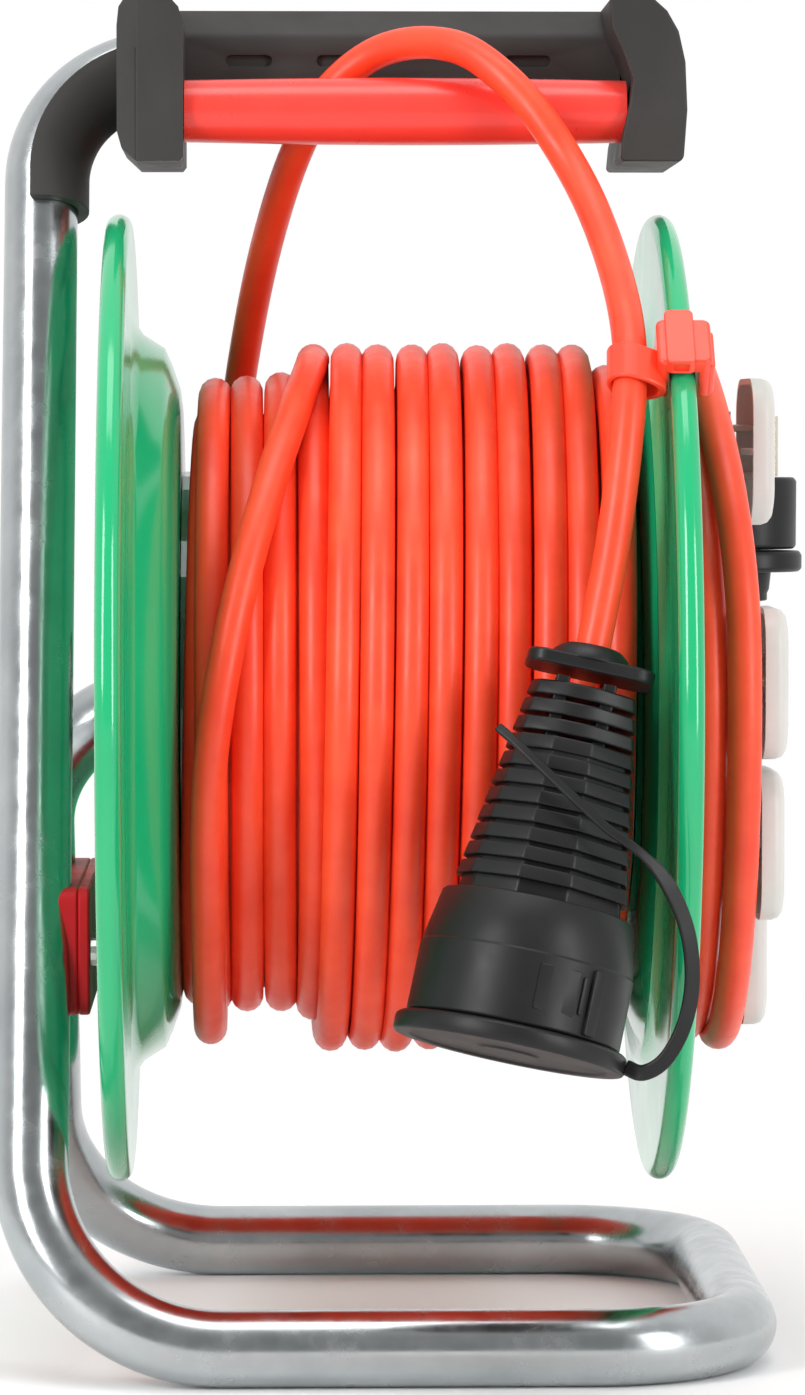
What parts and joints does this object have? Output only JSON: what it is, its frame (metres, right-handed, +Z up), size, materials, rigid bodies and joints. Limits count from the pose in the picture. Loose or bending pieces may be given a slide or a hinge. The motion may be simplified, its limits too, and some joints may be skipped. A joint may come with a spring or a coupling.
{
  "type": "extension cord reel",
  "caption": "Cable reel: a bent steel tube stand with a moulded handle carries a flanged plastic drum of wound cord, with sprung-lid sockets, a coupling and a supply plug.",
  "frame": {"origin": "on the floor, under the middle of the reel's box without its cords", "axes": "+X along the drum's axle towards the sockets, -Y towards the front foot bar and coupling, +Z up"},
  "size_m": [0.2474, 0.3244, 0.399],
  "materials": {
    "zinc_tube": "zinc-plated, bright",
    "grip_black": "fine-grained matt",
    "guide_red": "satin",
    "bracket_red": "gloss",
    "screw_steel": "plain",
    "drum_green": "gloss",
    "bush_white": "plain",
    "cord_orange": "satin sheath",
    "clip_red": "satin",
    "rubber_black": "semi-matt",
    "socket_grey": "satin",
    "pin_brass": "nickelled"
  },
  "bodies": {
    "frame": {"frame_tube": "zinc_tube", "handle_grip_front": "grip_black", "handle_grip_rear": "grip_black", "handle_elbow_cover": "grip_black", "cable_guide_bar": "guide_red", "handle_screw_1": "screw_steel", "handle_screw_2": "screw_steel", "upright_bracket": "bracket_red", "bracket_screw_front": "screw_steel", "bracket_screw_rear": "screw_steel", "axle_stop_collar": "screw_steel", "axle_washer": "screw_steel", "axle_screw": "screw_steel", "main_cord_tail": "cord_orange", "rim_clip": "clip_red", "coupling_strain_relief": "rubber_black", "coupling_body": "rubber_black", "coupling_insert": "rubber_black", "coupling_strap": "rubber_black"},
    "drum": {"drum_flange_left": "drum_green", "drum_flange_right": "drum_green", "drum_core": "drum_green", "hub_bush_left": "bush_white", "hub_bush_right": "bush_white", "drum_tie_bolt_1": "screw_steel", "drum_tie_bolt_2": "screw_steel", "drum_tie_bolt_3": "screw_steel", "main_cord_winding": "cord_orange", "socket_housing": "socket_grey", "thermal_cutout": "rubber_black", "terminal_block": "bush_white", "supply_gland": "rubber_black", "supply_cord_coil": "cord_orange", "supply_cord_end": "cord_orange", "supply_plug_body": "rubber_black", "supply_plug_relief": "rubber_black", "supply_plug_pin_left": "pin_brass", "supply_plug_pin_right": "pin_brass", "socket_insert_1": "socket_grey", "lid_pin_1": "screw_steel", "lid_spring_1": "screw_steel", "socket_insert_2": "socket_grey", "lid_pin_2": "screw_steel", "lid_spring_2": "screw_steel", "socket_insert_3": "socket_grey", "lid_pin_3": "screw_steel", "lid_spring_3": "screw_steel", "socket_insert_4": "socket_grey", "lid_pin_4": "screw_steel", "lid_spring_4": "screw_steel"},
    "coupling_cap": {"coupling_cap": "rubber_black"},
    "reset_button": {"reset_button": "rubber_black"},
    "lid_1": {"socket_lid_1": "socket_grey"},
    "lid_2": {"socket_lid_2": "socket_grey"},
    "lid_3": {"socket_lid_3": "socket_grey"},
    "lid_4": {"socket_lid_4": "socket_grey"}
  },
  "joints": [
    {"name": "drum_spin", "type": "hinge", "parent": "frame", "child": "drum", "pos_m": [0, 0, 0.191], "axis": [1, 0, 0], "continuous": true},
    {"name": "lid_1_hinge", "type": "hinge", "parent": "drum", "child": "lid_1", "pos_m": [0.10175, 0.0029, 0.26505], "axis": [0, 0, 1], "range_deg": [-2, 93], "stiffness_Nm_per_rad": 0.004},
    {"name": "lid_2_hinge", "type": "hinge", "parent": "drum", "child": "lid_2", "pos_m": [0.10175, -0.05558, 0.19894], "axis": [0, 0, 1], "range_deg": [0, 95], "stiffness_Nm_per_rad": 0.004},
    {"name": "lid_3_hinge", "type": "hinge", "parent": "drum", "child": "lid_3", "pos_m": [0.10175, -0.04514, 0.15186], "axis": [0, 0, 1], "range_deg": [0, 95], "stiffness_Nm_per_rad": 0.004},
    {"name": "lid_4_hinge", "type": "hinge", "parent": "drum", "child": "lid_4", "pos_m": [0.10175, 0.00942, 0.11574], "axis": [0, 0, 1], "range_deg": [0, 95], "stiffness_Nm_per_rad": 0.004},
    {"name": "reset_button_press", "type": "slide", "parent": "drum", "child": "reset_button", "axis": [-1, 0, 0], "range_m": [0, 0.0025], "stiffness_N_per_m": 400},
    {"name": "coupling_cap_pull", "type": "slide", "parent": "frame", "child": "coupling_cap", "axis": [-0.2124, -0.1908, -0.9584], "range_m": [0, 0.02], "deforming": ["coupling_strap"]}
  ]
}
